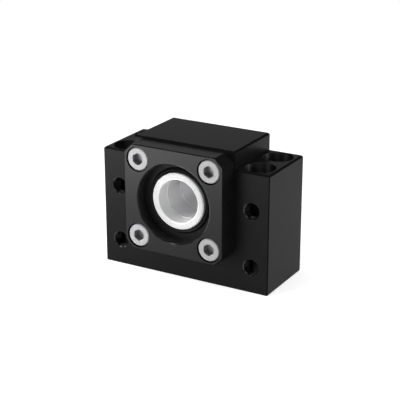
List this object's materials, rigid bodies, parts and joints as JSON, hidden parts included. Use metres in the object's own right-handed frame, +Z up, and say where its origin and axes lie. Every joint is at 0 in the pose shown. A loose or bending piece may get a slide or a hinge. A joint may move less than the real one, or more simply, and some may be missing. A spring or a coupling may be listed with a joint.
{
  "type": "ball screw end support",
  "caption": "Square block end support for a ball screw, with a screwed retaining plate, sealed angular contact bearings, collars and clamp holes both ways.",
  "frame": {"origin": "middle of the base face, straight under the screw axis", "axes": "+Z up, the screw axis along Y at 48 mm height, the retaining plate facing -Y, +X across the feet"},
  "size_m": [0.106, 0.063, 0.08],
  "materials": {
    "block_oxide": "satin black oxide on milled steel",
    "plate_oxide": "satin black oxide on milled steel",
    "plated_screw": "matt zinc plate",
    "ground_steel": "turned and ground, bright",
    "bearing_steel": "ground",
    "ball_steel": "polished",
    "spring_steel": "drawn wire",
    "seal_rubber": "matt black",
    "cage_polymer": "natural moulded"
  },
  "bodies": {
    "root": {"housing": "block_oxide", "retaining_plate": "plate_oxide", "plate_screws": "plated_screw", "front_seal": "seal_rubber", "front_seal_spring": "spring_steel", "rear_seal": "seal_rubber", "rear_seal_spring": "spring_steel", "front_outer_ring": "bearing_steel", "rear_outer_ring": "bearing_steel"},
    "rotor": {"front_collar": "ground_steel", "front_inner_ring": "bearing_steel", "rear_inner_ring": "bearing_steel", "rear_collar": "ground_steel"},
    "front_ball_set": {"front_cage": "cage_polymer", "front_ball_01": "ball_steel", "front_ball_02": "ball_steel", "front_ball_03": "ball_steel", "front_ball_04": "ball_steel", "front_ball_05": "ball_steel", "front_ball_06": "ball_steel", "front_ball_07": "ball_steel", "front_ball_08": "ball_steel", "front_ball_09": "ball_steel", "front_ball_10": "ball_steel", "front_ball_11": "ball_steel", "front_ball_12": "ball_steel"},
    "rear_ball_set": {"rear_cage": "cage_polymer", "rear_ball_01": "ball_steel", "rear_ball_02": "ball_steel", "rear_ball_03": "ball_steel", "rear_ball_04": "ball_steel", "rear_ball_05": "ball_steel", "rear_ball_06": "ball_steel", "rear_ball_07": "ball_steel", "rear_ball_08": "ball_steel", "rear_ball_09": "ball_steel", "rear_ball_10": "ball_steel", "rear_ball_11": "ball_steel", "rear_ball_12": "ball_steel"}
  },
  "joints": [
    {"name": "rotor_spin", "type": "hinge", "parent": "root", "child": "rotor", "pos_m": [0, 0.0012, 0.048], "axis": [0, 1, 0], "continuous": true},
    {"name": "front_balls_orbit", "type": "hinge", "parent": "root", "child": "front_ball_set", "pos_m": [0, -0.0095, 0.048], "axis": [0, 1, 0], "continuous": true},
    {"name": "rear_balls_orbit", "type": "hinge", "parent": "root", "child": "rear_ball_set", "pos_m": [0, 0.0055, 0.048], "axis": [0, 1, 0], "continuous": true}
  ],
  "couplings": [
    {"joint": "front_balls_orbit", "follows": "rotor_spin", "ratio": 0.4107},
    {"joint": "rear_balls_orbit", "follows": "rotor_spin", "ratio": 0.4107}
  ]
}
